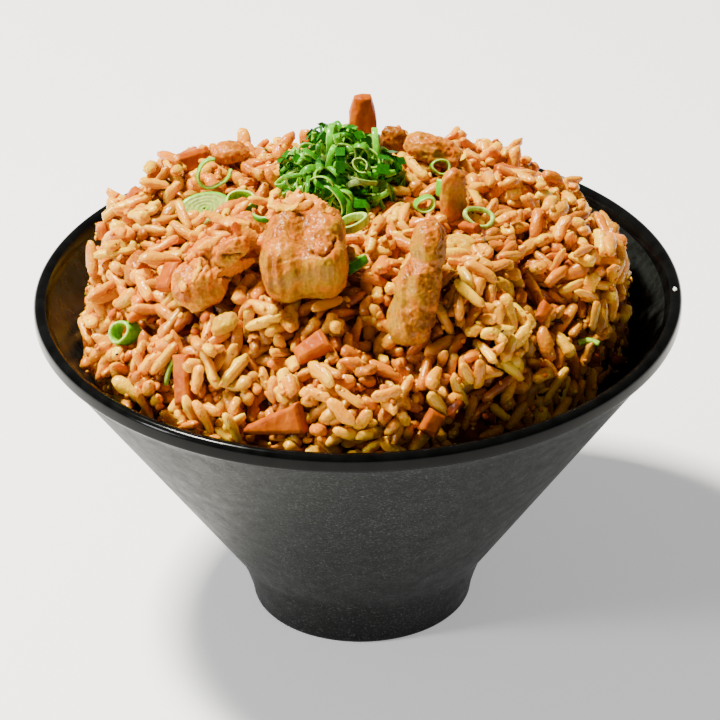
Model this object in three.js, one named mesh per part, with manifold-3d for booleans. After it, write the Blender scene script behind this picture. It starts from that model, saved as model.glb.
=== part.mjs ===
// A deep conical black bowl of fried rice: a heap of rice grains with pieces of chicken, carrot and egg,
// under a mound of sliced spring onion. Millimetres, +Z up, the origin at the centre of the foot's underside.
// The bowl's front, where the rice comes nearest the rim, faces -Y.
import * as THREE from "three";
import { mergeVertices } from "three/addons/utils/BufferGeometryUtils.js";
import Module from "manifold-3d";

const wasm = await Module();
wasm.setup();

// Driving dimensions of the bowl
const RIM_RADIUS = 75;
const BOWL_HEIGHT = 81.4;
const FOOT_RADIUS = 26;
const NECK_RADIUS = 29.7; // where the cone's straight wall begins
const NECK_HEIGHT = 13;
const WALL = 4.3; // measured level, across the sloping wall
const LIP_HEIGHT = 3.6; // of the glossy band round the rim
const LIP_STEP = 0.7; // how far that band stands out from the wall below it
const FLOOR_HEIGHT = 9; // of the bowl's inside
const FLOOR_CURVE = 6; // how far in the inside's floor starts to rise into the wall
const RECESS_RADIUS = 21.5; // the shallow hollow under the foot
const RECESS_DEPTH = 2;
const BOWL_SIDES = 44;

// Driving dimensions of the heap. Its bare core is a flat-topped dome that starts on the bowl's wall.
const EDGE_HEIGHT = 69.5; // mean height of the line where the rice meets the wall
const EDGE_RISE_TO_FRONT = 4;
const EDGE_RISE_TO_RIGHT = 1.5;
const EDGE_DIP = { x: 51, y: -48, reach: 22, fall: 6.5 }; // the rice lies deeper at the right front
const DOME_RISE = 34.5;
const DOME_POWER = 3.5; // 2 would be a sphere, more is a flatter top with steeper sides
const HEAP_SIDES = 42;
const HEAP_RINGS = 10;
const LUMPS = [
  // Centre x and y, reach and rise: the largest mounds and hollows of the heap
  { x: -52, y: 18, reach: 14, rise: 12 },
  { x: -34, y: 32, reach: 15, rise: 8 },
  { x: 12, y: 32, reach: 14, rise: 2 },
  { x: 34, y: 28, reach: 14, rise: -2 },
  { x: 52, y: 14, reach: 13, rise: -6 },
  { x: 58, y: -8, reach: 12, rise: 9 },
  { x: -60, y: -6, reach: 11, rise: 3 },
  { x: 0, y: -57, reach: 22, rise: -7 },
  { x: 20, y: -44, reach: 9, rise: 6 },
  { x: 6, y: -48, reach: 6, rise: -8 },
  { x: -16, y: -44, reach: 6, rise: -4 },
  { x: 33, y: -30, reach: 7, rise: -5 },
];
const CLUMP_SIZE = 11; // of the uneven clumps all over the heap
const CLUMP_RISE = 3;
const CLUMP_SHIFT = { coarse: 3.3, fine: 7.7 }; // into the noise, so that the two sizes don't line up

// Driving dimensions of the rice grains on the heap
const GRAIN_LENGTH = 8.4;
const GRAIN_WIDTH = 3;
const GRAIN_COUNT = 178; // places tried, some of which are taken by toppings
const GRAIN_TRIES = 4; // turns tried at each place
const GRAIN_TILT = 34; // most that a grain leans out of the heap's surface, in degrees
const GRAIN_LIFT = 0.8; // least and most height of a grain's middle above the bare core
const GRAIN_LIFT_MOST = 1.3;
const GRAIN_SEED = 2024;

const GAP = 0.4; // kept between pieces that touch
const GOLDEN_ANGLE = 2.39996; // radians, so that no two pieces of a spiral line up

const CONE_TOP_RADIUS = RIM_RADIUS - LIP_STEP;
const CONE_TOP_HEIGHT = BOWL_HEIGHT - LIP_HEIGHT;
const CONE_SLOPE = (CONE_TOP_RADIUS - NECK_RADIUS) / (CONE_TOP_HEIGHT - NECK_HEIGHT);
const FLOOR_EDGE_HEIGHT = NECK_HEIGHT + 2; // where the inside's straight wall begins

// Materials
const paint = (color, roughness) => new THREE.MeshStandardMaterial({ color, roughness, metalness: 0 });
const BOWL_BLACK = paint(0x2a2c2a, 0.55);
const RICE = paint(0xd9a35c, 0.45);
const CHICKEN = paint(0xd98a45, 0.5);
const CARROT = paint(0xe8701a, 0.4);
const EGG = paint(0xefc04a, 0.5);
const ONION_GREEN = paint(0x4f9a24, 0.4);
const ONION_PALE = paint(0xc2d78c, 0.4);

// Seeded draws between 0 and 1, and smooth noise between -1 and 1 from a hashed lattice
function seededDraws(seed) {
  let state = seed >>> 0;
  return () => {
    state = (Math.imul(state, 1664525) + 1013904223) >>> 0;
    return state / 4294967296;
  };
}

function hashed(i, j, k) {
  const mixed = Math.sin(i * 127.1 + j * 311.7 + k * 74.7) * 43758.5453;
  return 2 * (mixed - Math.floor(mixed)) - 1;
}

function noise(x, y, z = 0) {
  const [i, j, k] = [x, y, z].map(Math.floor);
  const [u, v, w] = [x - i, y - j, z - k].map((t) => t * t * (3 - 2 * t));
  const mix = THREE.MathUtils.lerp;
  const edge = (dj, dk) => mix(hashed(i, j + dj, k + dk), hashed(i + 1, j + dj, k + dk), u);
  return mix(mix(edge(0, 0), edge(1, 0), v), mix(edge(0, 1), edge(1, 1), v), w);
}

// Solids for joining and cutting, and back
function solidOf(geometry) {
  const bare = geometry.clone();
  bare.deleteAttribute("normal");
  bare.deleteAttribute("uv");
  const merged = mergeVertices(bare, 1e-4);
  return new wasm.Manifold(
    new wasm.Mesh({
      numProp: 3,
      vertProperties: new Float32Array(merged.attributes.position.array),
      triVerts: new Uint32Array(merged.index.array),
    }),
  );
}

function geometryOf(solid) {
  const { vertProperties, triVerts } = solid.getMesh();
  return new THREE.BufferGeometry()
    .setAttribute("position", new THREE.BufferAttribute(new Float32Array(vertProperties), 3))
    .setIndex(new THREE.BufferAttribute(new Uint32Array(triVerts), 1));
}

// The largest of a solid's bodies: loose scraps and sealed hollows are dropped.
function mainBody(solid) {
  const bodies = solid.decompose();
  return bodies.reduce((a, b) => (b.volume() > a.volume() ? b : a));
}

// A profile of [radius, height] points turned round the upright axis.
function turned(outline, sides) {
  const points = outline.map(([radius, height]) => new THREE.Vector2(radius, height));
  return new THREE.LatheGeometry(points, sides).rotateX(Math.PI / 2);
}

// Bowl
function insideRadius(z) {
  return CONE_TOP_RADIUS - WALL - CONE_SLOPE * (CONE_TOP_HEIGHT - z);
}

function bowlGeometry() {
  const lipLow = BOWL_HEIGHT - LIP_HEIGHT;
  const outline = [
    [0, RECESS_DEPTH],
    [RECESS_RADIUS - 1, RECESS_DEPTH],
    [RECESS_RADIUS, 0],
    [FOOT_RADIUS - 1.5, 0],
    [FOOT_RADIUS, 1.6],
    [FOOT_RADIUS + 1.7, NECK_HEIGHT * 0.5],
    [NECK_RADIUS, NECK_HEIGHT],
    [CONE_TOP_RADIUS - 0.4, lipLow - 0.6],
    [RIM_RADIUS, lipLow + 0.5],
    [RIM_RADIUS, BOWL_HEIGHT - 1.4],
    [RIM_RADIUS - 0.9, BOWL_HEIGHT - 0.3],
    [RIM_RADIUS - 2.1, BOWL_HEIGHT],
    [RIM_RADIUS - 3.2, BOWL_HEIGHT - 0.6],
    [insideRadius(BOWL_HEIGHT - 3), BOWL_HEIGHT - 3],
    [insideRadius(FLOOR_EDGE_HEIGHT), FLOOR_EDGE_HEIGHT],
    [insideRadius(FLOOR_EDGE_HEIGHT) - FLOOR_CURVE, FLOOR_HEIGHT + 0.8],
    [0, FLOOR_HEIGHT],
  ];
  return turned(outline, BOWL_SIDES);
}

// Heap's bare surface: where it meets the wall, and its height anywhere
function edgeHeight(x, y) {
  const r = Math.max(Math.hypot(x, y), RIM_RADIUS / 2);
  const fromDip = Math.hypot(x - EDGE_DIP.x, y - EDGE_DIP.y) / EDGE_DIP.reach;
  const rise = (EDGE_RISE_TO_RIGHT * x - EDGE_RISE_TO_FRONT * y) / r;
  return EDGE_HEIGHT + rise - EDGE_DIP.fall * Math.exp(-(fromDip ** 2));
}

function edgeRadius(x, y) {
  return insideRadius(edgeHeight(x, y)) - GAP;
}

function heapHeight(x, y) {
  const share = Math.min(1, Math.hypot(x, y) / edgeRadius(x, y));
  const lumps = LUMPS.map((l) => l.rise * Math.exp(-((x - l.x) ** 2 + (y - l.y) ** 2) / l.reach ** 2));
  const coarse = CLUMP_RISE * noise(x / CLUMP_SIZE + CLUMP_SHIFT.coarse, y / CLUMP_SIZE);
  const fine = (CLUMP_RISE / 2) * noise((2 * x) / CLUMP_SIZE, (2 * y) / CLUMP_SIZE + CLUMP_SHIFT.fine);
  const rise = DOME_RISE + lumps.reduce((a, b) => a + b, 0) + coarse + fine;
  return edgeHeight(x, y) + rise * Math.sqrt(1 - share ** DOME_POWER);
}

function heapNormal(x, y) {
  const step = 3;
  const dx = (heapHeight(x + step, y) - heapHeight(x - step, y)) / (2 * step);
  const dy = (heapHeight(x, y + step) - heapHeight(x, y - step)) / (2 * step);
  return new THREE.Vector3(-dx, -dy, 1).normalize();
}

// The heap's bare core, its top raised by lift: turned rings that are drawn up to the heap's surface.
function heapCore(lift = 0) {
  const top = Array.from({ length: HEAP_RINGS + 1 }, (_, i) => [i / HEAP_RINGS, 0]);
  const outline = [
    ...top,
    [insideRadius(CONE_TOP_HEIGHT / 2) - GAP, CONE_TOP_HEIGHT / 2],
    [insideRadius(FLOOR_EDGE_HEIGHT) - GAP, FLOOR_EDGE_HEIGHT],
    [insideRadius(FLOOR_EDGE_HEIGHT) - FLOOR_CURVE - GAP, FLOOR_HEIGHT + 0.8 + GAP],
    [0, FLOOR_HEIGHT + GAP],
  ];
  const core = turned(outline.reverse(), HEAP_SIDES);
  const place = core.attributes.position;
  for (let i = 0; i < place.count; i++) {
    if (Math.abs(place.getZ(i)) > 0.01) continue; // a point of the wall or the floor
    const share = Math.hypot(place.getX(i), place.getY(i));
    const [alongX, alongY] = share > 0 ? [place.getX(i) / share, place.getY(i) / share] : [0, 0];
    const reach = edgeRadius(alongX * RIM_RADIUS, alongY * RIM_RADIUS);
    const radius = reach * Math.sin((share * Math.PI) / 2); // rings lie closer where the heap is steep
    const [x, y] = [alongX * radius, alongY * radius];
    place.setXYZ(i, x, y, heapHeight(x, y) + lift);
  }
  return core;
}

// Where a piece goes: its own Z along the heap's normal, or upright, then turned by spin and leant.
function placement({ x, y, lift, spin = 0, lean = 0, upright = false }) {
  const up = upright ? new THREE.Vector3(0, 0, 1) : heapNormal(x, y);
  const right = new THREE.Vector3(1, 0, 0).addScaledVector(up, -up.x).normalize();
  const back = new THREE.Vector3().crossVectors(up, right);
  const turn = new THREE.Matrix4().makeBasis(right, back, up);
  turn.multiply(new THREE.Matrix4().makeRotationX(THREE.MathUtils.degToRad(lean)));
  turn.multiply(new THREE.Matrix4().makeRotationZ(THREE.MathUtils.degToRad(spin)));
  return turn.setPosition(x, y, heapHeight(x, y) + lift);
}

// Shapes of the toppings. Each takes its sizes and how much it is to be grown on every side.
// A craggy chunk: a ball drawn out to size, squared by boxiness and roughened by relief.
function chunk({ size, seed, relief = 0.16, boxiness = 2.6, detail = 2 }, grow) {
  const ball = new THREE.IcosahedronGeometry(1, detail);
  const place = ball.attributes.position;
  const d = new THREE.Vector3();
  for (let i = 0; i < place.count; i++) {
    d.fromBufferAttribute(place, i).normalize();
    const squared = [d.x, d.y, d.z].reduce((sum, c) => sum + Math.abs(c) ** boxiness, 0) ** (-1 / boxiness);
    const coarse = noise(1.9 * d.x + seed, 1.9 * d.y, 1.9 * d.z);
    const fine = noise(4.3 * d.x, 4.3 * d.y + seed, 4.3 * d.z);
    const reach = squared * (1 + relief * coarse + 0.6 * relief * fine);
    const [x, y, z] = size.map((s) => (s / 2) * reach + grow);
    place.setXYZ(i, d.x * x, d.y * y, d.z * z);
  }
  return ball;
}

// A torn piece: chunks that stand for its bundles of muscle, joined where they cross.
function lobed({ lobes, seed, relief, boxiness = 2.6, detail = 2 }, grow) {
  const solids = lobes.map(({ at, size, turn = 0 }, i) => {
    const bundle = chunk({ size, seed: seed + i, relief, boxiness, detail }, grow);
    return solidOf(bundle.rotateZ(THREE.MathUtils.degToRad(turn)).translate(...at));
  });
  return geometryOf(wasm.Manifold.union(solids));
}

// A knife-cut piece: a block with bevelled edges, its far end narrowed by taper.
function cutBlock({ size, taper = 1 }, grow) {
  const [length, width, height] = size.map((s) => s + 2 * grow);
  const bevel = 0.18 * Math.min(...size);
  const bluntest = 0.2; // half the width that a wedge's tip keeps
  const [half, near] = [length / 2 - bevel, width / 2 - bevel];
  const far = Math.max((taper * width) / 2 - bevel, bluntest);
  const face = new THREE.Shape([
    new THREE.Vector2(-half, -far),
    new THREE.Vector2(half, -near),
    new THREE.Vector2(half, near),
    new THREE.Vector2(-half, far),
  ]);
  const options = { depth: height - 2 * bevel, bevelSize: bevel, bevelThickness: bevel, bevelSegments: 1 };
  return new THREE.ExtrudeGeometry(face, options).translate(0, 0, bevel - height / 2);
}

// A slice of a hollow stalk, oval by squash.
function ring({ radius, wall, height, squash = 1, sides = 7 }, grow) {
  const [outer, inner, top] = [radius + grow, radius - wall - grow, height / 2 + grow];
  const outline = [
    [inner, -top],
    [outer, -top],
    [outer, top],
    [inner, top],
    [inner, -top],
  ];
  return turned(outline, sides).scale(1, squash, 1);
}

// A slice of a solid stalk, its face a little hollowed.
function disc({ radius, height, squash = 1, sides = 12 }, grow) {
  const [outer, top] = [radius + grow, height / 2 + grow];
  const outline = [
    [0, -top],
    [outer - 0.5, -top],
    [outer, 0],
    [outer - 0.5, top],
    [outer - 1.3, top - 0.4],
    [0, top - 0.3],
  ];
  return turned(outline, sides).scale(1, squash, 1);
}

// A thin shred that bends through an arc.
function shred({ length, width, height, bend }, grow) {
  const steps = 5;
  const arc = THREE.MathUtils.degToRad(bend);
  const radius = length / arc;
  const points = Array.from({ length: steps + 1 }, (_, i) => {
    const angle = (i / steps - 0.5) * arc;
    return new THREE.Vector3(radius * Math.sin(angle), radius * (Math.cos(angle) - 1), 0);
  });
  const [w, h] = [width / 2 + grow, height / 2 + grow];
  const section = new THREE.Shape([
    new THREE.Vector2(-w, -h),
    new THREE.Vector2(w, -h),
    new THREE.Vector2(w, h),
    new THREE.Vector2(-w, h),
  ]);
  const extrudePath = new THREE.CatmullRomCurve3(points);
  return new THREE.ExtrudeGeometry(section, { steps, extrudePath, bevelEnabled: false });
}

// Toppings: what each is, where it lies on the heap (x, y and its middle's lift above the bare core), its
// spin and lean in degrees, and its sizes. Local X runs to the right and local Y up the slope.
const TOPPINGS = [
  { name: "chicken_chunk", shape: lobed, look: CHICKEN, x: -12, y: -34, lift: 8, spin: 0,
    seed: 4.1, relief: 0.1, lobes: [
      { at: [-3.6, 3.6, 1], size: [9, 12, 13], turn: -12 },
      { at: [-4, -4.8, 0], size: [11, 16, 15], turn: 4 },
      { at: [4.6, 3.8, 0], size: [10.5, 13.5, 15], turn: 8 },
      { at: [4.2, -5.6, 0], size: [12, 12.5, 15], turn: -6 },
      { at: [-1, 9.6, 0], size: [10, 7, 11], turn: -14 },
    ] },
  { name: "chicken_shredded", shape: lobed, look: CHICKEN, x: -30.8, y: -31, lift: 6, spin: 0,
    seed: 8.6, relief: 0.18, detail: 1, lobes: [
      { at: [-5.6, -4, -0.5], size: [12.5, 12, 11], turn: 30 },
      { at: [-1, 0.6, 0], size: [12, 10, 11], turn: 40 },
      { at: [4, 5.2, 0], size: [13, 7, 9.5], turn: 12 },
      { at: [4, -1.6, 1.5], size: [10, 5, 5.5], turn: 8 },
      { at: [4.4, 9.4, 1], size: [11, 3.4, 4], turn: -16 },
    ] },
  { name: "chicken_crisp_slab", shape: lobed, look: CHICKEN, x: 13.2, y: -44, lift: 5, spin: 0,
    seed: 2.3, relief: 0.1, boxiness: 3, detail: 1, lobes: [
      { at: [-2.4, -7.4, 0], size: [10.5, 12.5, 9], turn: -12 },
      { at: [0.4, -1, 0.4], size: [10.5, 14, 9.5], turn: -14 },
      { at: [3.4, 8, 0], size: [7.8, 11.5, 8], turn: -6 },
    ] },
  { name: "chicken_right_slice", shape: chunk, look: CHICKEN, x: 22, y: -9, lift: 5, spin: 34,
    upright: true, size: [6, 4.5, 14.5], seed: 5.2, boxiness: 3.4, relief: 0.13 },
  { name: "chicken_behind_carrot", shape: chunk, look: CHICKEN, x: 9, y: 29, lift: 3, spin: -20,
    upright: true, size: [8, 4.5, 13], seed: 1.4, boxiness: 3, relief: 0.12, detail: 1 },
  { name: "chicken_left", shape: chunk, look: CHICKEN, x: -50, y: -15, lift: 2, spin: 60,
    size: [8.5, 5.5, 5], seed: 6.4, detail: 1 },
  { name: "chicken_top_right", shape: chunk, look: CHICKEN, x: 18, y: 20, lift: 2, spin: -15,
    size: [14, 9, 7], seed: 7.7, detail: 1 },
  { name: "chicken_back_left", shape: chunk, look: CHICKEN, x: -29.5, y: 27, lift: 1.5, spin: 10,
    size: [9, 7, 5], seed: 9.1, detail: 1 },
  { name: "carrot_upright", shape: chunk, look: CARROT, x: 1.8, y: 27, lift: 7, lean: 4, upright: true,
    size: [7, 5.5, 22], seed: 3.3, boxiness: 3, relief: 0.06, detail: 1 },
  { name: "carrot_left_baton", shape: cutBlock, look: CARROT, x: -38.6, y: -49, lift: 1.5, spin: 92,
    size: [11.5, 4.4, 4] },
  { name: "carrot_front_wedge", shape: cutBlock, look: CARROT, x: -18.8, y: -62, lift: 1.2, spin: 14,
    size: [14.5, 7, 4.5], taper: 0.25 },
  { name: "carrot_middle_dice", shape: cutBlock, look: CARROT, x: -10, y: -51.2, lift: 1.2, spin: 22,
    size: [8, 5.5, 4.5], taper: 0.8 },
  { name: "carrot_front_right", shape: cutBlock, look: CARROT, x: 15.8, y: -63.2, lift: 0.8, spin: 60,
    size: [5.5, 4, 3.5] },
  { name: "carrot_left_side", shape: cutBlock, look: CARROT, x: -41.9, y: -25.8, lift: 1.2, spin: 65,
    size: [7, 4.5, 4] },
  { name: "carrot_back_left", shape: cutBlock, look: CARROT, x: -51.3, y: 15.5, lift: 1, spin: 15,
    size: [4.5, 4, 4] },
  { name: "carrot_top_left", shape: cutBlock, look: CARROT, x: -39, y: 24, lift: 1.5, spin: 40,
    size: [7.5, 6, 5], taper: 0.6 },
  { name: "carrot_right", shape: cutBlock, look: CARROT, x: 41.2, y: -33.6, lift: 1, spin: 60,
    size: [5, 3.2, 3.5], taper: 0.7 },
  { name: "carrot_back_right", shape: cutBlock, look: CARROT, x: 37, y: 22, lift: 1.4, spin: -20,
    size: [10, 5.5, 5], taper: 0.7 },
  { name: "carrot_top_right", shape: cutBlock, look: CARROT, x: 22.5, y: 31, lift: 1.2, spin: 14,
    size: [8, 3.6, 4] },
  { name: "carrot_shred", shape: cutBlock, look: CARROT, x: 25.5, y: -15, lift: 1, spin: -42,
    size: [5, 2.4, 2.4] },
  { name: "egg_middle", shape: chunk, look: EGG, x: 23.2, y: -22.5, lift: 1.4, spin: -40,
    size: [9.5, 5, 3.4], seed: 11.2, relief: 0.22, detail: 1 },
  { name: "egg_right", shape: chunk, look: EGG, x: 32.5, y: -34, lift: 1.2, spin: 10,
    size: [6, 4.6, 3.6], seed: 12.9, relief: 0.22, detail: 1 },
  { name: "egg_left", shape: chunk, look: EGG, x: -29.6, y: -44.8, lift: 1.2, spin: 30,
    size: [6.4, 4.8, 3.2], seed: 13.7, relief: 0.22, detail: 1 },
  { name: "egg_far_right", shape: chunk, look: EGG, x: 61, y: -17, lift: 0.8, spin: 50,
    size: [5, 3.4, 3], seed: 14.5, relief: 0.2, detail: 1 },
  { name: "onion_slice_oval", shape: disc, look: ONION_PALE, x: -35, y: 2.4, lift: 1.8, spin: 12, lean: 24,
    radius: 6.2, height: 2.6, squash: 0.66 },
  { name: "onion_curl", shape: ring, look: ONION_GREEN, x: -32.8, y: 11, lift: 3, spin: 0, lean: 58,
    radius: 3.6, wall: 0.9, height: 4 },
  { name: "onion_ring_bright", shape: ring, look: ONION_GREEN, x: -26, y: 3.6, lift: 2, spin: 10, lean: 42,
    radius: 3.2, wall: 0.9, height: 3.4 },
  { name: "onion_ring_left", shape: ring, look: ONION_GREEN, x: -52, y: -30, lift: 1.4, spin: 10, lean: 10,
    radius: 3, wall: 1, height: 4.4, squash: 0.9 },
  { name: "onion_ring_dark", shape: ring, look: ONION_GREEN, x: -0.5, y: -29.8, lift: 1.4, spin: 0, lean: 0,
    radius: 3.3, wall: 1, height: 2.2, squash: 0.8 },
  { name: "onion_curl_right", shape: ring, look: ONION_PALE, x: 27.5, y: -13, lift: 1.6, spin: -20, lean: 20,
    radius: 4, wall: 1.2, height: 2.4, squash: 0.62 },
  { name: "onion_slice_front", shape: ring, look: ONION_PALE, x: -0.5, y: -13.5, lift: 1.6, spin: 20,
    lean: 10, radius: 3.6, wall: 1.1, height: 2.6, squash: 0.7 },
  { name: "onion_end_back", shape: ring, look: ONION_GREEN, x: 19.5, y: 12, lift: 1.8, spin: 5, lean: 60,
    radius: 2.5, wall: 0.9, height: 5, squash: 0.75, sides: 6 },
  { name: "onion_end_middle", shape: ring, look: ONION_GREEN, x: 15.5, y: -6, lift: 1.8, spin: 30, lean: 70,
    radius: 2.4, wall: 0.9, height: 4.6, squash: 0.8, sides: 6 },
  { name: "onion_end_right", shape: ring, look: ONION_GREEN, x: 20, y: 0, lift: 1.6, spin: 80, lean: 20,
    radius: 2.4, wall: 0.9, height: 4.2, squash: 0.7, sides: 6 },
  { name: "onion_hook", shape: shred, look: ONION_GREEN, x: -21, y: -11, lift: 1.6, spin: 110,
    length: 10, width: 1.1, height: 1.6, bend: 110 },
  { name: "onion_strip_left", shape: shred, look: ONION_GREEN, x: -41.9, y: -45.4, lift: 1, spin: 96,
    length: 8, width: 1.2, height: 1.2, bend: 30 },
  { name: "onion_strip_right", shape: shred, look: ONION_GREEN, x: 51.8, y: -31, lift: 0.8, spin: -25,
    length: 5, width: 1.6, height: 1.2, bend: 40 },
];

// Mound of spring onion: rings that lie every way on a small rounded core
const MOUND = { x: -4, y: 4.5, width: 27, depth: 24, height: 15 };
const MOUND_RINGS = 12;
const MOUND_SLICE = { radius: 3.3, wall: 1.2, height: 2, squash: 0.6 }; // the smallest, to which draws add
const MOUND_SEED = 77;

function moundSolid() {
  const base = heapHeight(MOUND.x, MOUND.y);
  const [a, b, c] = [MOUND.width / 2, MOUND.depth / 2, MOUND.height];
  const core = chunk({ size: [2 * a, 2 * b, 2 * c], seed: 6.2, relief: 0.1, boxiness: 2, detail: 1 }, 0);
  const solids = [solidOf(core.translate(MOUND.x, MOUND.y, base))];
  const draw = seededDraws(MOUND_SEED);
  for (let i = 0; i < MOUND_RINGS; i++) {
    const high = 1 - (i + 0.5) / MOUND_RINGS; // from the top down, evenly by area
    const level = Math.sqrt(1 - high * high);
    const angle = i * GOLDEN_ANGLE;
    const out = new THREE.Vector3(level * Math.cos(angle), level * Math.sin(angle), high);
    const place = new THREE.Vector3(MOUND.x + a * out.x, MOUND.y + b * out.y, base + c * out.z);
    const slice = { ...MOUND_SLICE };
    slice.radius += 1.5 * draw();
    slice.height += draw();
    slice.squash += 0.4 * draw();
    const turn = new THREE.Euler(Math.PI * draw(), Math.PI * draw(), Math.PI * draw());
    const matrix = new THREE.Matrix4().makeRotationFromEuler(turn).setPosition(place);
    solids.push(solidOf(ring(slice, 0).applyMatrix4(matrix)));
  }
  return wasm.Manifold.union(solids);
}

// A grain of rice with blunt ends, in five sides.
function grain(length, width, grow) {
  const [half, radius] = [length / 2 + grow, width / 2 + grow];
  return new THREE.SphereGeometry(1, 5, 3).rotateX(Math.PI / 2).scale(radius, radius, half);
}

// Heap: grains over the whole bare core, each turned or skipped where it would cross a topping or the bowl
function heapSolid(core, obstacles) {
  const draw = seededDraws(GRAIN_SEED);
  const solids = [core];
  const boxes = obstacles.map((solid) => ({ solid, box: boxOf(solid) }));
  for (let i = 0; i < GRAIN_COUNT; i++) {
    const share = (i + 0.5) / GRAIN_COUNT;
    const angle = i * GOLDEN_ANGLE;
    const [alongX, alongY] = [Math.cos(angle), Math.sin(angle)];
    const reach = edgeRadius(alongX * RIM_RADIUS, alongY * RIM_RADIUS) - 1;
    const radius = reach * Math.sqrt(2 * share - share * share); // even over a dome's whole surface
    const [x, y] = [alongX * radius, alongY * radius];
    for (let attempt = 0; attempt < GRAIN_TRIES; attempt++) {
      const matrix = placement({ x, y, lift: 0, spin: 360 * draw() });
      const out = heapNormal(x, y).multiplyScalar(THREE.MathUtils.lerp(GRAIN_LIFT, GRAIN_LIFT_MOST, draw()));
      const tilt = 90 + GRAIN_TILT * (2 * draw() - 1);
      const lying = new THREE.Matrix4().makeRotationX(THREE.MathUtils.degToRad(tilt));
      matrix.multiply(lying).premultiply(new THREE.Matrix4().makeTranslation(out));
      const [length, width] = [GRAIN_LENGTH * (0.8 + 0.3 * draw()), GRAIN_WIDTH * (0.9 + 0.25 * draw())];
      const fat = solidOf(grain(length, width, GAP).applyMatrix4(matrix));
      const box = boxOf(fat);
      const near = boxes.filter((other) => other.box.intersectsBox(box));
      if (near.some((other) => !fat.intersect(other.solid).isEmpty())) continue;
      solids.push(solidOf(grain(length, width, 0).applyMatrix4(matrix)));
      break;
    }
  }
  return mainBody(wasm.Manifold.union(solids));
}

function boxOf(solid) {
  const { min, max } = solid.boundingBox();
  return new THREE.Box3(new THREE.Vector3(...min), new THREE.Vector3(...max));
}

// Assembly
const part = new THREE.Group();

function add(name, geometry, material) {
  const mesh = new THREE.Mesh(geometry, material);
  mesh.name = name;
  part.add(mesh);
}

const bowl = bowlGeometry();
add("bowl", bowl, BOWL_BLACK);

const raisedCore = solidOf(heapCore(GAP));
const placed = [];
const grown = [];
for (const topping of TOPPINGS) {
  const matrix = placement(topping);
  const bare = solidOf(topping.shape(topping, 0).applyMatrix4(matrix));
  const solid = mainBody(bare.subtract(wasm.Manifold.union([raisedCore, ...grown])));
  placed.push(solid);
  grown.push(solidOf(topping.shape(topping, GAP).applyMatrix4(matrix)));
  add(topping.name, geometryOf(solid), topping.look);
}

const mound = mainBody(moundSolid().subtract(wasm.Manifold.union([raisedCore, ...grown])));
add("onion_mound", geometryOf(mound), ONION_GREEN);

const heap = heapSolid(solidOf(heapCore()), [...placed, mound, solidOf(bowl)]);
add("fried_rice", geometryOf(heap), RICE);

export default part;
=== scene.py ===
"""Looks for a deep conical black bowl of fried rice with chicken, carrot, egg and spring onion.

The frame gives every node's place. This script replaces the nodes with fine surfaces of the same form:
a glazed bowl, thousands of cooked grains over a dark core painted as their shade, browned chicken, and curled
onion slices.
Lengths are in metres, through MM. The bowl's front faces -Y.
"""

import math

import bpy
import numpy as np
from mathutils import Matrix, Vector, noise
from mathutils.bvhtree import BVHTree


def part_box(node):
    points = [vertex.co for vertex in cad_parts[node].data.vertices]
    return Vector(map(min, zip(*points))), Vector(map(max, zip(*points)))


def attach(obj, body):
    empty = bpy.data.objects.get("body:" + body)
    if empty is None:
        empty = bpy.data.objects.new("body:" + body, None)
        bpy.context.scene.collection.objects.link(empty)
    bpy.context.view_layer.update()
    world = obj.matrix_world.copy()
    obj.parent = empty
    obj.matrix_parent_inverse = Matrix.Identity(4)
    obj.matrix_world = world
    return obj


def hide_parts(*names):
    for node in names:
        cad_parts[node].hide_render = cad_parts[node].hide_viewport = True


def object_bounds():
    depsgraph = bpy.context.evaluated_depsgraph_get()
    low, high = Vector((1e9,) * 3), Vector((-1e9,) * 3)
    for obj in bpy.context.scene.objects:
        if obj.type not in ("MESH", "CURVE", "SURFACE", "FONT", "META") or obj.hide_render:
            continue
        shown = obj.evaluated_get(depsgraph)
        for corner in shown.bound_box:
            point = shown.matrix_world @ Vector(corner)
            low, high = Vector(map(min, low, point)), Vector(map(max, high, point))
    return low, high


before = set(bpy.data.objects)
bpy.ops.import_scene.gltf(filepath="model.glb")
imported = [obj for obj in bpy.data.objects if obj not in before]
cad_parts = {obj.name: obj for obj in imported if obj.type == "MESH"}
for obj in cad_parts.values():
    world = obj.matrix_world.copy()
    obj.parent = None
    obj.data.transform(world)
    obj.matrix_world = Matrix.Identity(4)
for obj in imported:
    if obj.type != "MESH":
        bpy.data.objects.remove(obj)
cad_low, cad_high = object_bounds()

MM = 0.001
SEED = 20
draw = np.random.default_rng(SEED)

# Camera, at the photograph's angle
CAMERA_PLACE = Vector((0, -906.4, 588.7)) * MM
CAMERA_AIM = Vector((0.3, 0, 62.4)) * MM
CAMERA_ROLL = math.radians(-0.91)
CAMERA_LENS = 224.3  # for a sensor 36 mm wide

# The picture's right, its up, and the way to the viewer. Marks on the chicken are placed along them.
VIEW_RIGHT = np.array([1, 0, 0])
VIEW_UP = np.array([0, 0.502, 0.865])
VIEW_NEAR = np.array([0, -0.865, 0.502])

# Bowl, from the rim's outside inwards
BOWL_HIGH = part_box("bowl")[1]
RIM_RADIUS = BOWL_HIGH.x
BOWL_HEIGHT = BOWL_HIGH.z
FOOT_RADIUS = 26 * MM
NECK_RADIUS = 29.7 * MM
NECK_HEIGHT = 13 * MM
WALL = 4.3 * MM
LIP_HEIGHT = 3.6 * MM
LIP_STEP = 0.7 * MM
FLOOR_HEIGHT = 9 * MM
RECESS_RADIUS = 21.5 * MM
RECESS_DEPTH = 2 * MM
BOWL_SIDES = 192
CONE_TOP_RADIUS = RIM_RADIUS - LIP_STEP
CONE_TOP_HEIGHT = BOWL_HEIGHT - LIP_HEIGHT
CONE_SLOPE = (CONE_TOP_RADIUS - NECK_RADIUS) / (CONE_TOP_HEIGHT - NECK_HEIGHT)

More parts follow.
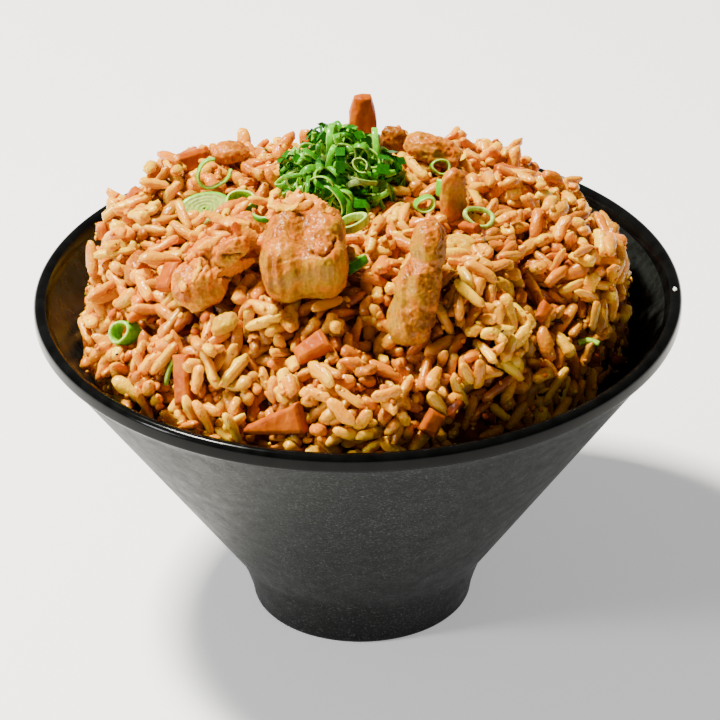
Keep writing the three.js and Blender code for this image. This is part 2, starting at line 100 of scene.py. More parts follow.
# Rice
CORE_SINK = 2.8 * MM  # how far the dark core lies inside the heap's bare surface
GRAIN_LENGTH = 8.6 * MM
GRAIN_WIDTH = 3.1 * MM
GRAIN_SIDES = 10
GRAIN_RINGS = 8
GRAIN_SHAPES = 12
GRAIN_SAMPLES = 5  # balls along a grain that stand for it while the heap is packed
PACKING = 0.66  # of the distance at which two grains would just touch, so that they look stuck together
PASSES = (
    # Darts thrown, lowest and highest lift above the core, spread of the tilt in degrees, turns tried
    (5000, -0.6 * MM, 0.9 * MM, 18, 4),
    (8000, 0.2 * MM, 2.8 * MM, 32, 5),
    (9000, 1.2 * MM, 6.6 * MM, 40, 5),
)
HOLLOW_SINK = 3.0 * MM  # how much deeper it lies in a hollow
HEAP_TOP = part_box("fried_rice")[1].z
HOLLOWS = (
    # Dark hollows between the clumps: centre x and y and reach, in mm
    (36, -21, 7), (37, -13, 6), (11, -59, 4), (18, -3, 5), (-28, -36, 5), (20, -47, 4), (4, -43, 6),
    (-22, -47, 5), (-46, -31, 5), (46, -31, 6), (-21, -55, 4), (17, -51, 4), (52, 2, 6), (-42, -8, 5),
    (30, 4, 5),
)
CLUMPS = (
    # Raised clumps of grains, given in the same way
    (7, -64, 5), (19, -61, 6), (44, -42, 6), (-7, -63, 5), (-56, -9, 6), (-57, -19, 6), (-10, -57, 5),
    (6, -17, 6), (-35, -50, 5), (14, -19, 5), (26, -42, 6), (58, -14, 7),
)
EDGE_REACH = 70.2 * MM  # how far from the axis grains lie at the front left, where they meet the wall
EDGE_STEP = 7.0 * MM  # how much less that is elsewhere

# Lamps
LIGHTS = {
    # Name: place and aim in metres, size, power in watts, colour
    "key": ((-0.4, 0.16, 0.95), (0, 0, 0.09), (0.15, 0.15), 43, (1.0, 0.96, 0.86)),
    "left": ((-0.95, -0.35, 0.4), (0, 0, 0.07), (0.18, 0.3), 9, (1, 1, 1)),
}
WORLD_STRENGTH = 0.2
FLOOR_HALF = 6.0  # metres

# Turns, in radians
GOLDEN_ANGLE = 2.39996
FULL_TURN = 6.28


def wall_radius(z):
    """The radius of the bowl's inside at a height, on its straight wall."""
    return CONE_TOP_RADIUS - WALL - CONE_SLOPE * (CONE_TOP_HEIGHT - z)


def heap_edge(x, y):
    """How far from the axis rice lies at the rim: up to the wall at the front left, less all round it."""
    facing = (-0.5 * x - 0.87 * y) / np.maximum(np.hypot(x, y), MM)
    return EDGE_REACH - EDGE_STEP * smoothstep(-0.85, -0.6, -facing)


def marks_at(points, marks):
    """How strongly each point lies in one of the marked rounds of the heap, from 0 to 1."""
    share = np.zeros(len(points))
    for x, y, reach in marks:
        away = np.hypot(points[:, 0] - x * MM, points[:, 1] - y * MM) / (reach * MM)
        share = np.maximum(share, np.exp(-(away**2)))
    return share


def smoothstep(low, high, value):
    t = np.clip((value - low) / (high - low), 0, 1)
    return t * t * (3 - 2 * t)


def rgb(red, green, blue):
    """A display colour from 0 to 255 as the linear colour that shaders take."""
    share = np.array([red, green, blue]) / 255
    linear = np.where(share > 0.04045, ((share + 0.055) / 1.055) ** 2.4, share / 12.92)
    return tuple(float(c) for c in linear)


# Materials
class Shader:
    """A Principled material with short helpers for its texture nodes."""

    def __init__(self, name, **sockets):
        self.material = bpy.data.materials.new(name)
        self.material.use_nodes = True
        self.nodes = self.material.node_tree.nodes
        self.links = self.material.node_tree.links
        self.bsdf = self.nodes["Principled BSDF"]
        for socket, value in sockets.items():
            self.bsdf.inputs[socket.replace("_", " ")].default_value = value
        self.where = self.nodes.new("ShaderNodeTexCoord").outputs["Object"]

    def noise(self, scale, detail=3.0, roughness=0.5, stretch=(1, 1, 1)):
        """Noise whose features are about 1 / scale metres across."""
        mapping = self.nodes.new("ShaderNodeMapping")
        mapping.inputs["Scale"].default_value = stretch
        self.links.new(self.where, mapping.inputs["Vector"])
        texture = self.nodes.new("ShaderNodeTexNoise")
        texture.inputs["Scale"].default_value = scale
        texture.inputs["Detail"].default_value = detail
        texture.inputs["Roughness"].default_value = roughness
        self.links.new(mapping.outputs["Vector"], texture.inputs["Vector"])
        return texture.outputs["Fac"]

    def ramp(self, value, *stops):
        """Maps a value through stops of (place, colour or number)."""
        node = self.nodes.new("ShaderNodeValToRGB")
        while len(node.color_ramp.elements) < len(stops):
            node.color_ramp.elements.new(0.5)
        for element, (place, colour) in zip(node.color_ramp.elements, stops):
            channels = colour if isinstance(colour, tuple) else (colour,) * 3
            element.position = place
            element.color = (*channels, 1)
        self.links.new(value, node.inputs["Fac"])
        return node.outputs["Color"]

    def mix(self, share, first, second, blend="MIX"):
        """Mixes two colours, each a socket or a colour, by a socket or a number."""
        node = self.nodes.new("ShaderNodeMix")
        node.data_type = "RGBA"
        node.blend_type = blend
        for socket, value in ((0, share), (6, first), (7, second)):
            if isinstance(value, bpy.types.NodeSocket):
                self.links.new(value, node.inputs[socket])
            else:
                node.inputs[socket].default_value = (*value, 1) if isinstance(value, tuple) else value
        return node.outputs[2]

    def attribute(self, name):
        node = self.nodes.new("ShaderNodeAttribute")
        node.attribute_name = name
        return node.outputs["Color"]

    def bump(self, height, depth, strength=1.0, below=None):
        node = self.nodes.new("ShaderNodeBump")
        node.inputs["Strength"].default_value = strength
        node.inputs["Distance"].default_value = depth
        self.links.new(height, node.inputs["Height"])
        if below is not None:
            self.links.new(below, node.inputs["Normal"])
        return node.outputs["Normal"]

    def feed(self, socket, value):
        self.links.new(value, self.bsdf.inputs[socket])

    def roughness(self, least, most, *noise, stops=(0.3, 0.7)):
        """Roughness that wanders between two values."""
        self.feed("Roughness", self.ramp(self.noise(*noise), (stops[0], least), (stops[1], most)))

    def relief(self, depth, strength, *noise, below=None):
        """Fine bumps, which may lie over coarser ones."""
        self.feed("Normal", self.bump(self.noise(*noise), depth, strength, below))


def soft_shader(name, weight, reach, radius, specular, **coat):
    """A translucent food: how much light enters it, how far, in which colours, and how it shines."""
    return Shader(
        name,
        Subsurface_Weight=weight,
        Subsurface_Scale=reach,
        Subsurface_Radius=radius,
        Specular_IOR_Level=specular,
        **coat,
    )


def rice_shader(name):
    """Cooked grains: translucent and oily, with sauce stains over each grain's own tint."""
    s = soft_shader(name, 0.4, 2.0 * MM, (1.0, 0.6, 0.2), 0.3, Coat_Weight=0.05, Coat_Roughness=0.1)
    stain = s.ramp(s.noise(210, 4), (0.46, 0.0), (0.68, 0.85))
    chalk = s.ramp(s.noise(640, 2), (0.6, 0.0), (0.72, 0.25))
    stained = s.mix(stain, s.attribute("tint"), rgb(214, 121, 0))
    s.feed("Base Color", s.mix(chalk, stained, rgb(238, 204, 30)))
    s.roughness(0.12, 0.26, 500, 2)
    s.relief(0.22 * MM, 0.8, 1500, 3, below=s.bump(s.noise(620, 2), 0.5 * MM, 0.7))
    return s.material


def painted_shade_core_shader():
    s = Shader("rice_core_painted_shade", Specular_IOR_Level=0.12)
    # Painted shade: the core's dark browns stand for the shade between the grains over it.
    s.feed("Base Color", s.ramp(s.noise(300, 3), (0.35, rgb(44, 14, 1)), (0.7, rgb(122, 48, 4))))
    s.roughness(0.35, 0.6, 500, 2)
    s.relief(1.2 * MM, 1.0, 320, 2)
    return s.material


def chicken_shader():
    s = soft_shader("chicken", 0.3, 2.0 * MM, (1.0, 0.42, 0.16), 0.12, Coat_Weight=0.06, Coat_Roughness=0.12)
    glaze = s.ramp(s.noise(300, 4), (0.44, 0.0), (0.7, 0.7))
    tint = s.mix(glaze, s.attribute("tint"), rgb(212, 108, 0))
    fine = s.ramp(s.noise(1500, 3), (0.35, 0.78), (0.65, 1.08))
    s.feed("Base Color", s.mix(1.0, tint, fine, "MULTIPLY"))
    s.roughness(0.2, 0.44, 600, 3, stops=(0.35, 0.65))
    fibres = s.bump(s.noise(900, 3, 0.6, (1, 1, 0.25)), 0.25 * MM, 0.8)
    s.relief(0.1 * MM, 0.7, 2600, 2, below=fibres)
    return s.material


def carrot_shader():
    s = soft_shader("carrot", 0.15, 2.2 * MM, (1.0, 0.3, 0.05), 0.07)
    streaks = s.noise(420, 3, 0.55, (1, 1, 0.4))
    dark, middle, light = rgb(148, 62, 0), rgb(164, 76, 0), rgb(180, 96, 0)
    s.feed("Base Color", s.ramp(streaks, (0.3, dark), (0.5, middle), (0.72, light)))
    s.roughness(0.24, 0.42, 700, 2)
    s.relief(0.14 * MM, 0.6, 1100, 3)
    return s.material


def egg_shader():
    s = soft_shader("egg", 0.3, 1.6 * MM, (1.0, 0.65, 0.2), 0.12)
    dark, middle, light = rgb(176, 114, 0), rgb(190, 138, 0), rgb(204, 160, 2)
    s.feed("Base Color", s.ramp(s.noise(380, 3), (0.34, dark), (0.5, middle), (0.7, light)))
    s.roughness(0.3, 0.5, 600, 2)
    s.relief(0.2 * MM, 0.8, 1300, 3)
    return s.material


def onion_shader():
    """Spring onion: the tint holds skin, flesh and cut edges; fine veins run over it."""
    s = soft_shader("onion", 0.2, 1.0 * MM, (0.4, 1.0, 0.1), 0.2, Coat_Weight=0.1, Coat_Roughness=0.08)
    veins = s.ramp(s.noise(1400, 2, 0.5, (1, 1, 0.3)), (0.35, 0.72), (0.65, 1.15))
    s.feed("Base Color", s.mix(1.0, s.attribute("tint"), veins, "MULTIPLY"))
    s.roughness(0.18, 0.36, 500, 2)
    s.relief(0.12 * MM, 0.6, 1200, 2)
    return s.material


def crumb_shader(name, dark, light):
    s = Shader(name, Subsurface_Weight=0.15, Subsurface_Scale=1.0 * MM, Specular_IOR_Level=0.14)
    s.feed("Base Color", s.ramp(s.noise(700, 3), (0.35, dark), (0.65, light)))
    s.roughness(0.25, 0.5, 900, 2)
    s.relief(0.15 * MM, 1.0, 1800, 3)
    return s.material


def body_glaze_shader():
    """The bowl's outside: a satin black glaze, gritty to the eye, with fine pale specks."""
    s = Shader("bowl_body", Specular_IOR_Level=0.12)
    dark, middle, light = rgb(12, 13, 12), rgb(24, 26, 24), rgb(74, 76, 72)
    grit = s.ramp(s.noise(1700, 3, 0.7), (0.36, dark), (0.56, middle), (0.74, light))
    cloud = s.ramp(s.noise(55, 3), (0.35, 0.82), (0.7, 1.1))
    s.feed("Base Color", s.mix(1.0, grit, cloud, "MULTIPLY"))
    s.roughness(0.42, 0.56, 260, 4, 0.6)
    s.relief(0.1 * MM, 0.6, 1500, 3, 0.6)
    return s.material


def lip_glaze_shader():
    s = Shader("bowl_lip", Specular_IOR_Level=0.09)
    s.feed("Base Color", s.ramp(s.noise(240, 3), (0.35, rgb(3, 3, 3)), (0.7, rgb(9, 10, 9))))
    s.roughness(0.1, 0.2, 120, 3)
    s.relief(0.12 * MM, 0.35, 180, 2)
    return s.material


def inside_glaze_shader():
    s = Shader("bowl_inside", Specular_IOR_Level=0.1)
    s.feed("Base Color", s.ramp(s.noise(420, 4, 0.65), (0.35, rgb(10, 11, 10)), (0.7, rgb(30, 32, 30))))
    s.roughness(0.22, 0.36, 150, 3)
    s.relief(0.06 * MM, 0.4, 700, 3)
    return s.material


def floor_shader():
    """A white floor that glows a little, as one lit from below does."""
    s = Shader("floor_plain", Roughness=0.7, Emission_Color=(1, 1, 1, 1), Emission_Strength=0.4)
    s.feed("Base Color", s.ramp(s.noise(6, 2), (0.3, (0.88, 0.88, 0.88)), (0.7, (0.92, 0.92, 0.92))))
    return s.material


# Mesh helpers
def make_piece(name, points, faces, materials, tint=None, face_materials=None):
    """A smooth-shaded object from points and faces that rides on the root body."""
    mesh = bpy.data.meshes.new(name)
    mesh.from_pydata(np.asarray(points).tolist(), [], faces)
    mesh.polygons.foreach_set("use_smooth", [True] * len(mesh.polygons))
    for material in materials:
        mesh.materials.append(material)
    if face_materials is not None:
        mesh.polygons.foreach_set("material_index", face_materials)
    if tint is not None:
        attribute = mesh.attributes.new("tint", "FLOAT_COLOR", "POINT")
        colours = np.ones((len(mesh.vertices), 4))
        colours[:, :3] = tint
        attribute.data.foreach_set("color", colours.ravel())
    mesh.update()
    piece = bpy.data.objects.new(name, mesh)
    bpy.context.scene.collection.objects.link(piece)
    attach(piece, "root")
    return piece


def joined(parts):
    """One array of points and one list of faces from many."""
    points, faces, offset = [], [], 0
    for part_points, part_faces in parts:
        points.append(part_points)
        faces += [tuple(k + offset for k in face) for face in part_faces]
        offset += len(part_points)
    return np.vstack(points), faces


def outward(points, faces):
    """The faces of a closed form, wound so that their normals point out of it."""
    middle = points.mean(axis=0)
    volume = 0.0
    for face in faces:
        corners = points[list(face)] - middle
        for k in range(1, len(face) - 1):
            volume += np.dot(corners[0], np.cross(corners[k], corners[k + 1]))
    return faces if volume > 0 else [face[::-1] for face in faces]


def turned_faces(rings, sides):
    """Faces of a form with a point at each end and rings of points between them."""
    faces = [(0, 1 + (k + 1) % sides, 1 + k) for k in range(sides)]
    for ring in range(rings - 1):
        low, high = 1 + ring * sides, 1 + (ring + 1) * sides
        faces += [(low + k, low + (k + 1) % sides, high + (k + 1) % sides, high + k) for k in range(sides)]
    last = 1 + (rings - 1) * sides
    faces += [(last + k, last + (k + 1) % sides, last + sides) for k in range(sides)]
    return faces


def tube_faces(count, section, closed=False):
    """Faces of a tube through a count of sections, joined end to end or capped."""
    faces = []
    for i in range(count if closed else count - 1):
        here, there = i * section, ((i + 1) % count) * section
        for k in range(section):
            after = (k + 1) % section
            faces.append((here + k, here + after, there + after, there + k))
    if not closed:
        faces.append(tuple(range(section))[::-1])
        faces.append(tuple((count - 1) * section + k for k in range(section)))
    return faces


def fine_copy(node, voxel, smoothing):
    """Points, faces and normals of a node's solid, remeshed finely and smoothed."""
    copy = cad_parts[node].copy()
    copy.data = copy.data.copy()
    bpy.context.scene.collection.objects.link(copy)
    remesh = copy.modifiers.new("remesh", "REMESH")
    remesh.mode = "VOXEL"
    remesh.voxel_size = voxel
    smooth = copy.modifiers.new("smooth", "SMOOTH")
    smooth.factor = 0.5
    smooth.iterations = smoothing
    mesh = bpy.data.meshes.new_from_object(copy.evaluated_get(bpy.context.evaluated_depsgraph_get()))
    points = np.empty(len(mesh.vertices) * 3)
    mesh.vertices.foreach_get("co", points)
    faces = [tuple(p.vertices) for p in mesh.polygons]
    bpy.data.objects.remove(copy)
    bpy.data.meshes.remove(mesh)
    points = points.reshape(-1, 3)
    return points, faces, point_normals(points, faces)


def point_normals(points, faces):
    """Normals at a mesh's points, from its faces' diagonals."""
    quads = np.array([face if len(face) == 4 else (*face, face[0]) for face in faces])
    first = points[quads[:, 2]] - points[quads[:, 0]]
    second = points[quads[:, 3]] - points[quads[:, 1]]
    across = np.cross(first, second)
    normals = np.zeros_like(points)
    for corner in range(4):
        np.add.at(normals, quads[:, corner], across)
    return normals / np.maximum(np.linalg.norm(normals, axis=1, keepdims=True), 1e-12)


def noise_at(points, size, shift=0.0, stretch=(1, 1, 1)):
    """Smooth noise, about -1 to 1, with features of a size, at each point."""
    places = points * np.array(stretch) / size + shift
    return np.array([noise.noise(Vector(p)) for p in places]) * 1.6


def ridges_at(points, size, shift=0.0, stretch=(1, 1, 1)):
    """Noise folded into sharp crests, 0 in the valleys to 1 on the crests."""
    return 1 - np.minimum(1, np.abs(noise_at(points, size, shift, stretch)) * 1.4)


def box_middle(node):
    low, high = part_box(node)
    return np.array((low + high) / 2)


def kept_in_box(points, node):
    """The points, drawn together and moved where they have grown out of their node's box."""
    low, high = (np.array(corner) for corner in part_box(node))
    middle = (points.min(axis=0) + points.max(axis=0)) / 2
    span = points.max(axis=0) - points.min(axis=0)
    scale = np.minimum(1, (high - low) / span)
    place = np.clip(middle, low + span * scale / 2, high - span * scale / 2)
    return (points - middle) * scale + place


def basis(axis, spin=0.0):
    """A rotation whose third column is an axis, turned about it by spin."""
    axis = Vector(axis).normalized()
    side = Vector((1, 0, 0)) - axis * axis.x
    side.normalize()
    side = Matrix.Rotation(spin, 3, axis) @ side
    return np.array([side, axis.cross(side), axis]).T


# Bowl
def arc(centre_radius, centre_height, radius, height, start, end, steps):
    """Profile points on an ellipse's arc, in degrees from outwards, rising."""
    angles = np.radians(np.linspace(start, end, steps + 1))
    return [(centre_radius + radius * math.cos(a), centre_height + height * math.sin(a)) for a in angles]


def straight(start, end, steps):
    shares = np.linspace(0, 1, steps + 1)[1:]
    return [tuple(np.array(start) * (1 - t) + np.array(end) * t) for t in shares]


def bowl_profile():
    """[radius, height] points of three stretches: the outside, the glossy lip and the inside."""
    lip_low = BOWL_HEIGHT - LIP_HEIGHT
    foot = [(0, RECESS_DEPTH), (RECESS_RADIUS - 1.2 * MM, RECESS_DEPTH)]
    foot += arc(RECESS_RADIUS - 1.2 * MM, 0.9 * MM, 1.1 * MM, 1.1 * MM, 90, 0, 4)
    foot += [(RECESS_RADIUS + 0.3 * MM, 0), (FOOT_RADIUS - 1.6 * MM, 0)]
    foot += arc(FOOT_RADIUS - 1.5 * MM, 1.5 * MM, 1.5 * MM, 1.5 * MM, -80, 0, 5)
    start = np.array((FOOT_RADIUS, 2 * MM))
    bend = np.array((FOOT_RADIUS + 1.4 * MM, NECK_HEIGHT * 0.62))
    end = np.array((NECK_RADIUS, NECK_HEIGHT))
    for t in np.linspace(0, 1, 9)[1:]:
        foot.append(tuple(start * (1 - t) ** 2 + bend * 2 * t * (1 - t) + end * t * t))
    cone_top = (CONE_TOP_RADIUS - 0.5 * MM, lip_low - 0.8 * MM)
    outside = foot + straight((NECK_RADIUS, NECK_HEIGHT), cone_top, 24)
    lip = arc(RIM_RADIUS - 0.55 * MM, lip_low + 0.25 * MM, 0.55 * MM, 0.8 * MM, -100, 0, 5)
    lip += [(RIM_RADIUS, BOWL_HEIGHT - 1.5 * MM)]
    lip += arc(RIM_RADIUS - 1.6 * MM, BOWL_HEIGHT - 1.5 * MM, 1.6 * MM, 1.5 * MM, 10, 140, 10)
    lip += [(wall_radius(BOWL_HEIGHT - 2.6 * MM) + 0.3 * MM, BOWL_HEIGHT - 2.6 * MM)]
    floor_edge = NECK_HEIGHT + 2 * MM
    inner_top = (wall_radius(BOWL_HEIGHT - 3.4 * MM), BOWL_HEIGHT - 3.4 * MM)
    inside = straight(inner_top, (wall_radius(floor_edge), floor_edge), 12)
    inside += [(wall_radius(floor_edge) - 6 * MM, FLOOR_HEIGHT + 0.8 * MM), (0, FLOOR_HEIGHT)]
    return outside, lip, inside


def make_bowl():
    """The profile turned round the upright axis, each stretch with its own glaze."""
    stretches = bowl_profile()
    profile = [point for stretch in stretches for point in stretch]
    material_of = [i for i, stretch in enumerate(stretches) for _ in stretch]
    points = [(0, 0, profile[0][1])]
    rings = profile[1:-1]
    for radius, height in rings:
        for k in range(BOWL_SIDES):
            angle = 2 * math.pi * k / BOWL_SIDES
            points.append((radius * math.cos(angle), radius * math.sin(angle), height))
    points.append((0, 0, profile[-1][1]))
    faces = turned_faces(len(rings), BOWL_SIDES)
    bands = [0, *material_of[2 : len(rings) + 1], 2]
    face_materials = [material for material in bands for _ in range(BOWL_SIDES)]
    glazes = [body_glaze_shader(), lip_glaze_shader(), inside_glaze_shader()]
    bowl = make_piece("bowl_glazed", points, faces, glazes, face_materials=face_materials)
    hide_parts("bowl")


# Rice core
def make_core():
    """The heap's solid, smoothed and drawn in, with grain-sized relief, in a dark colour that is painted
    shade.
    """
    points, faces, normals = fine_copy("fried_rice", 1.1 * MM, 16)
    points = points - normals * (CORE_SINK + HOLLOW_SINK * marks_at(points, HOLLOWS))[:, None]
    normals = point_normals(points, faces)
    relief = 0.45 * MM * noise_at(points, 2.6 * MM)
    core = make_piece("rice_core_painted_shade", points + normals * relief[:, None], faces, [painted_shade_core_shader()])
    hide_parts("fried_rice")
    return points, faces, normals


# Rice grains
def grain_shape(seed):
    """Points of a unit grain along X: blunt, a little bent and lumpy, thicker at one end."""
    rng = np.random.default_rng(seed)
    bend = rng.uniform(-0.12, 0.2)
    t = 0.5 - 0.5 * np.cos(np.linspace(0, math.pi, GRAIN_RINGS + 1)[1:-1])
    radius = (1 - np.abs(2 * t - 1) ** rng.uniform(3.0, 5.5)) ** 0.5
    radius *= 1 + rng.uniform(-0.25, 0.25) * (2 * t - 1)
    angles = 2 * math.pi * np.arange(GRAIN_SIDES) / GRAIN_SIDES
    x = np.repeat(t - 0.5, GRAIN_SIDES)
    y = (radius[:, None] * np.cos(angles)).ravel() * 0.5
    z = (radius[:, None] * np.sin(angles)).ravel() * 0.5 * rng.uniform(0.7, 0.92)
    points = np.vstack([[-0.5, 0, 0], np.c_[x, y, z], [0.5, 0, 0]])
    rounded = points * (2.4, 1, 1)
    lumps = 0.26 * noise_at(rounded, 0.5, 10.0 * seed) + 0.15 * noise_at(rounded, 0.24, 5.0 * seed)
    points[:, 1:] *= 1 + lumps[:, None]
    points[:, 1] += bend * (1 - (2 * points[:, 0]) ** 2) - bend * 0.5
    points[:, 0] += 0.05 * noise_at(rounded, 0.4, 3.0 * seed)
    return points


class Packing:
    """Balls already placed, in a grid of cells, so that new grains nestle between them."""

    CELL = 4 * MM

    def __init__(self):
        self.cells = {}

    def near(self, middle, reach):
        low = np.floor((middle - reach) / self.CELL).astype(int)
        high = np.floor((middle + reach) / self.CELL).astype(int)
        found = []
        for i in range(low[0], high[0] + 1):
            for j in range(low[1], high[1] + 1):
                for k in range(low[2], high[2] + 1):
                    found += self.cells.get((i, j, k), ())
        return np.array(found).reshape(-1, 4)

    def add(self, centres, radii):
        for centre, radius in zip(centres, radii):
            cell = tuple(np.floor(centre / self.CELL).astype(int))
            self.cells.setdefault(cell, []).append((*centre, radius))


def open_surface(points, faces, normals):
    """Middles, normals and shares by area of the heap's faces that food can lie on."""
    quads = np.array(faces)
    middles = points[quads].mean(axis=1)
    facing = normals[quads].mean(axis=1)
    span = np.cross(points[quads[:, 2]] - points[quads[:, 0]], points[quads[:, 3]] - points[quads[:, 1]])
    area = np.linalg.norm(span, axis=1)
    clear = wall_radius(middles[:, 2]) - np.hypot(middles[:, 0], middles[:, 1])
    area[(facing[:, 2] < -0.25) | (middles[:, 2] < 0.75 * CONE_TOP_HEIGHT) | (clear < 4 * MM)] = 0
    return middles, facing, area / area.sum()


def clear_of(tree, centres, radii):
    """Whether all balls stay outside closed meshes."""
    for centre, radius in zip(centres, radii):
        place, normal, _, distance = tree.find_nearest(Vector(centre), 6 * MM)
        if place is None:
            continue
        if distance < 0.7 * radius or (Vector(centre) - place).dot(normal) < 0:
            return False
    return True


def pack_grains(surface, obstacles):
    """Throws grains at the core in passes. Of several turns, each takes the one that lies deepest."""
    middles, facings, shares = open_surface(*surface)
    raised, sunk = marks_at(middles, CLUMPS), marks_at(middles, HOLLOWS)
    steps = np.linspace(-0.5, 0.5, GRAIN_SAMPLES) * 0.8
    taper = 1 - 0.3 * np.abs(np.linspace(-1, 1, GRAIN_SAMPLES)) ** 2
    packing = Packing()
    grains = []
    for darts, lowest, highest, spread, turns in PASSES:
        for pick in draw.choice(len(middles), darts, p=shares):
            facing = facings[pick] / np.linalg.norm(facings[pick])
            place = middles[pick] + draw.normal(0, 0.4 * MM, 3)
            length = GRAIN_LENGTH * draw.uniform(0.75, 1.18)
            if draw.random() < 0.24:
                length *= draw.uniform(0.45, 0.75)
            width = GRAIN_WIDTH * draw.uniform(0.8, 1.12)
            radii = taper * width / 2
            clump = 0.6 + 1.3 * noise.noise(Vector(place) / (8 * MM)) + 0.5 * raised[pick] - sunk[pick]
            top = lowest + (highest - lowest) * max(0.05, min(1, clump))
            lifts = np.arange(lowest, top, 0.35 * MM)
            if not len(lifts):
                continue
            reach = 0.5 * length + 0.5 * (top - lowest) + 1.5 * MM
            near = packing.near(place + facing * lifts.mean(), reach)
            best = None
            for _ in range(turns):
                across = np.cross(facing, draw.normal(size=3))
                across /= np.linalg.norm(across)
                tilt = draw.normal(0, math.radians(spread))
                along = across * math.cos(tilt) + facing * math.sin(tilt)
                centres = place + lifts[:, None, None] * facing + steps[:, None] * length * along
                limit = wall_radius(centres[:, :, 2]) - 0.6 * MM
                limit = np.minimum(limit, heap_edge(centres[:, :, 0], centres[:, :, 1]))
                free = (np.hypot(centres[:, :, 0], centres[:, :, 1]) + 0.9 * radii < limit).all(axis=1)
                free &= (centres[:, :, 2] + radii < HEAP_TOP).all(axis=1)
                if len(near):
                    gaps = np.linalg.norm(centres[:, :, None] - near[:, :3], axis=3)
                    free &= (gaps > PACKING * (radii[:, None] + near[:, 3])).all(axis=(1, 2))
                levels = np.flatnonzero(free)
                if len(levels) and (best is None or levels[0] < best[0]):
                    best = (levels[0], centres[levels[0]], along)
                if best is not None and best[0] == 0:
                    break
            if best is None or not clear_of(obstacles, best[1], radii):
                continue
            level, centres, along = best
            packing.add(centres, radii)
            grains.append((centres[GRAIN_SAMPLES // 2], along, facing, length, width, lifts[level]))
    return grains


RICE_KINDS = {
    # Kind: middle tint and how common it is
    "rice_pale": (rgb(238, 186, 16), 0.2),
    "rice_cream": (rgb(236, 173, 4), 0.28),
    "rice_golden": (rgb(230, 155, 0), 0.3),
    "rice_amber": (rgb(206, 118, 0), 0.22),
}


def make_rice(grains):
    """One piece for each kind of grain. Deep grains are painted darker and redder as shade, and neighbours
    have like colours.
    """
    shapes = [grain_shape(seed) for seed in range(GRAIN_SHAPES)]
    unit_faces = turned_faces(GRAIN_RINGS - 1, GRAIN_SIDES)
    unit_faces = np.array([face if len(face) == 4 else (*face, -1) for face in unit_faces])
    kinds = list(RICE_KINDS)
    shares = np.cumsum([share for _, share in RICE_KINDS.values()])
    batches = {kind: ([], [], []) for kind in kinds}
    for middle, along, facing, length, width, lift in grains:
        patch = 0.5 + 0.36 * noise.noise(Vector(middle) / (15 * MM)) + draw.normal(0, 0.26)
        kind = kinds[min(int(np.searchsorted(shares, patch)), len(kinds) - 1)]
        shape = shapes[draw.integers(GRAIN_SHAPES)]
        side = np.cross(facing, along)
        axes = np.array([along, side, np.cross(along, side)])
        axes /= np.linalg.norm(axes, axis=1, keepdims=True)
        turn = np.array(Matrix.Rotation(draw.uniform(0, 2 * math.pi), 3, "X"))
        points = (shape @ turn.T) * (length, width, width) @ axes + middle
        # Painted shade: grains that lie low over the core get a darker, redder tint.
        depth = smoothstep(-0.5 * MM, 2.6 * MM, lift)
        tint = np.array(RICE_KINDS[kind][0]) * draw.uniform(0.8, 1.1) * (0.5 + 0.5 * depth)
        tint = tint * (1, 0.68 + 0.32 * depth, 0.6 + 0.4 * depth)
        all_points, all_faces, all_tints = batches[kind]
        all_faces.append(np.where(unit_faces < 0, -1, unit_faces + len(all_points) * len(shape)))
        all_points.append(points)
        all_tints.append(np.broadcast_to(tint, points.shape))
    parts = []
    for kind, (all_points, all_faces, all_tints) in batches.items():
        faces = [tuple(face if face[3] >= 0 else face[:3]) for face in np.vstack(all_faces).tolist()]
        points = np.vstack(all_points)
        piece = make_piece(kind, points, faces, [rice_shader(kind)], np.vstack(all_tints))
        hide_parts("fried_rice")
        parts.append((points, faces))
        print(kind, len(all_points), "grains")
    return parts


